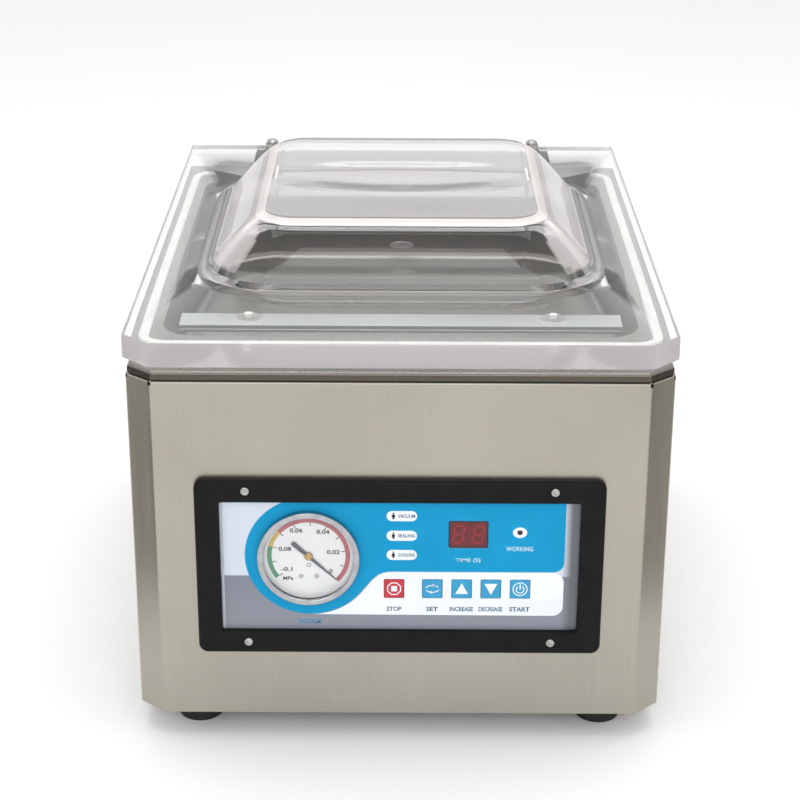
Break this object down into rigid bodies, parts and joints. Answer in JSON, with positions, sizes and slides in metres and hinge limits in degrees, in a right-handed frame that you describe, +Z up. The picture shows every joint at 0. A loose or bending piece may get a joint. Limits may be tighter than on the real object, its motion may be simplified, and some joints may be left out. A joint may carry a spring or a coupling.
{
  "type": "vacuum packing machine",
  "caption": "Table-top chamber vacuum packing machine: brushed steel casing, gasketed chamber with sealing bar, hinged clear domed lid, front panel with vacuum gauge and keys.",
  "frame": {"origin": "on the table under the middle of the machine's plan", "axes": "+X to the machine's right seen from the front, +Y to the back, +Z up"},
  "size_m": [0.33, 0.451, 0.302],
  "materials": {
    "stainless": "brushed 304 sheet, vertical grain",
    "stainless_deck": "satin pressed sheet",
    "galvanised": "galvanised sheet",
    "fastener": "bright nickel plate",
    "rubber_black": "matt rubber",
    "silicone_white": "translucent white silicone",
    "silicone_strip": "grey-white silicone",
    "acrylic": "clear polished cast acrylic",
    "aluminium_bar": "mill-finish extrusion",
    "nichrome": "rolled resistance ribbon",
    "ptfe_tape": "PTFE-coated glass tape",
    "spring_steel": "drawn spring wire",
    "abs_black": "fine textured ABS",
    "panel_print": "back-printed polycarbonate film",
    "key_blue": "printed key pad",
    "key_red": "printed key pad",
    "display_red": "dark red filter",
    "led_dark": "unlit diffuser",
    "circuit_board": "green solder mask",
    "gauge_steel": "black painted cup",
    "gauge_ring": "polished stainless",
    "gauge_dial": "white printed dial",
    "gauge_lens": "flat glass",
    "needle": "dark grey enamel",
    "cast_pump": "sand-cast, painted grey",
    "motor_grey": "grey-blue enamel",
    "lamination": "varnished laminations",
    "copper_coil": "varnished copper winding",
    "fan_plastic": "moulded nylon",
    "sight_glass": "clear oil window",
    "filter_black": "moulded nylon",
    "hose_clear": "reinforced PVC",
    "valve_brass": "forged brass",
    "rocker_red": "polished plastic",
    "brass_post": "turned brass"
  },
  "bodies": {
    "machine": {"housing_wrap": "stainless", "back_panel": "stainless", "back_panel_screws": "fastener", "base_plate": "galvanised", "rubber_feet": "rubber_black", "foot_fasteners": "fastener", "deck_seal_strip": "rubber_black", "chamber_tub": "stainless_deck", "lid_gasket": "silicone_white", "suction_port": "fastener", "seal_terminals": "brass_post", "seal_cylinders": "aluminium_bar", "return_springs": "spring_steel", "hinge_brackets": "stainless_deck", "hinge_shaft": "stainless_deck", "torsion_springs": "spring_steel", "panel_bezel": "abs_black", "bezel_screws": "fastener", "panel_plate": "panel_print", "control_board": "circuit_board", "display_module": "display_red", "indicator_leds": "led_dark", "gauge_case": "gauge_steel", "gauge_ring": "gauge_ring", "gauge_lens": "gauge_lens", "gauge_dial": "gauge_dial", "power_inlet": "abs_black", "switch_frame": "abs_black", "pump_mounts": "rubber_black", "pump_casing": "cast_pump", "pump_cover": "cast_pump", "oil_sight_glass": "sight_glass", "exhaust_filter": "filter_black", "motor_shell": "motor_grey", "motor_stator": "lamination", "fan_cowl": "motor_grey", "vacuum_hose": "hose_clear", "solenoid_valves": "valve_brass", "lift_hoses": "hose_clear", "transformer_core": "lamination", "transformer_coils": "copper_coil"},
    "lid": {"lid": "acrylic", "pressure_bar": "aluminium_bar", "silicone_strip": "silicone_strip", "pressure_bar_screws": "fastener", "hinge_plate": "stainless_deck", "lid_bolts": "fastener"},
    "seal_lift": {"seal_bar": "aluminium_bar", "heating_wire": "nichrome", "release_tape": "ptfe_tape", "seal_rods": "stainless_deck"},
    "needle": {"gauge_needle": "needle"},
    "stop_key": {"key_stop": "key_red"},
    "set_key": {"key_set": "key_blue"},
    "up_key": {"key_up": "key_blue"},
    "down_key": {"key_down": "key_blue"},
    "start_key": {"key_start": "key_blue"},
    "rocker": {"power_rocker": "rocker_red"},
    "rotor": {"pump_rotor": "stainless_deck", "cooling_fan": "fan_plastic"}
  },
  "joints": [
    {"name": "lid_hinge", "type": "hinge", "parent": "machine", "child": "lid", "pos_m": [0, 0.2065, 0.232], "axis": [-1, 0, 0], "range_deg": [0, 62]},
    {"name": "seal_bar_lift", "type": "slide", "parent": "machine", "child": "seal_lift", "axis": [0, 0, 1], "range_m": [0, 0.0096], "stiffness_N_per_m": 900, "deforming": ["return_springs"]},
    {"name": "gauge_needle_turn", "type": "hinge", "parent": "machine", "child": "needle", "pos_m": [-0.0553, -0.2255, 0.1261], "axis": [0, -1, 0], "range_deg": [0, 270], "stiffness_Nm_per_rad": 0.0002},
    {"name": "stop_key_press", "type": "slide", "parent": "machine", "child": "stop_key", "axis": [0, 1, 0], "range_m": [0, 0.0005], "stiffness_N_per_m": 900},
    {"name": "set_key_press", "type": "slide", "parent": "machine", "child": "set_key", "axis": [0, 1, 0], "range_m": [0, 0.0005], "stiffness_N_per_m": 900},
    {"name": "up_key_press", "type": "slide", "parent": "machine", "child": "up_key", "axis": [0, 1, 0], "range_m": [0, 0.0005], "stiffness_N_per_m": 900},
    {"name": "down_key_press", "type": "slide", "parent": "machine", "child": "down_key", "axis": [0, 1, 0], "range_m": [0, 0.0005], "stiffness_N_per_m": 900},
    {"name": "start_key_press", "type": "slide", "parent": "machine", "child": "start_key", "axis": [0, 1, 0], "range_m": [0, 0.0005], "stiffness_N_per_m": 900},
    {"name": "power_rocker_tip", "type": "hinge", "parent": "machine", "child": "rocker", "pos_m": [0.095, 0.1835, 0.0945], "axis": [1, 0, 0], "range_deg": [0, 14]},
    {"name": "pump_shaft_turn", "type": "hinge", "parent": "machine", "child": "rotor", "pos_m": [-0.068, 0.0605, 0.0892], "axis": [0, 1, 0], "continuous": true}
  ]
}
